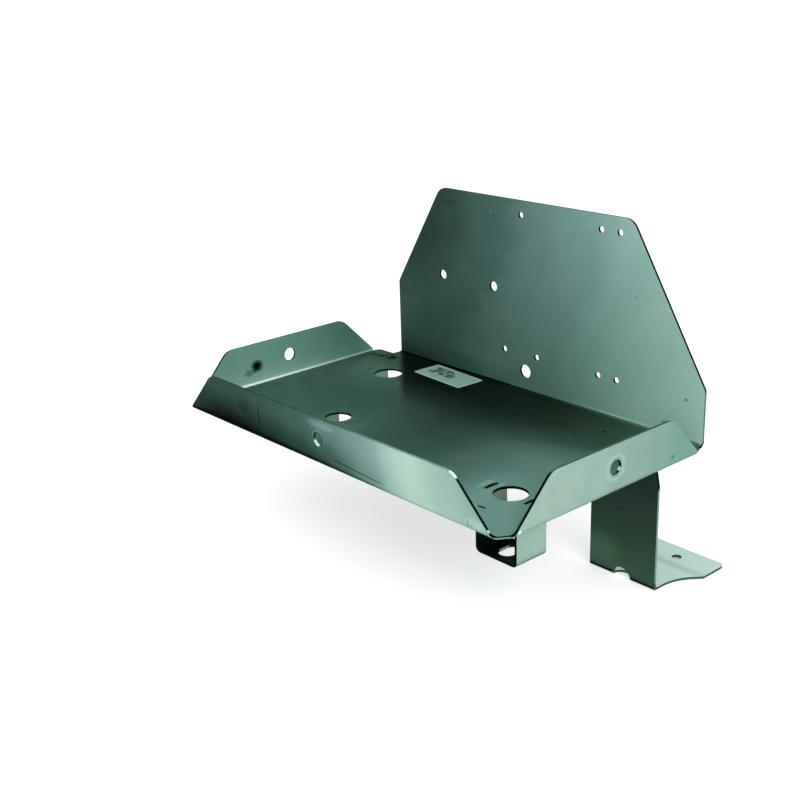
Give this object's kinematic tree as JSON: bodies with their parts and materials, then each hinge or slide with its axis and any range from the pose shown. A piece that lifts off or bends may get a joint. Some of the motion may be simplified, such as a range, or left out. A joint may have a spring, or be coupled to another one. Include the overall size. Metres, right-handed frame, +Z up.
{
  "type": "battery tray",
  "caption": "Folded sheet steel battery tray with a high pierced rear wall, three low flanges, three U-shaped feet under the floor and one tall bolt-down leg.",
  "frame": {"origin": "where the axis of the bolt hole in the leg's foot plate meets the underside of that plate", "axes": "+X along the tray towards the end that has the leg; +Y from the open front towards the high wall; +Z up, out of the tray"},
  "size_m": [0.3652, 0.2174, 0.244],
  "materials": {
    "steel": "satin sheet steel with a green-grey cast, soft blurred reflections and a few dark stains",
    "paper": "matt pale paper label with plain printed bars"
  },
  "bodies": {
    "root": {"tray": "steel", "foot_front_right": "steel", "foot_front_left": "steel", "foot_rear_left": "steel", "leg": "steel", "label": "paper"}
  },
  "joints": []
}
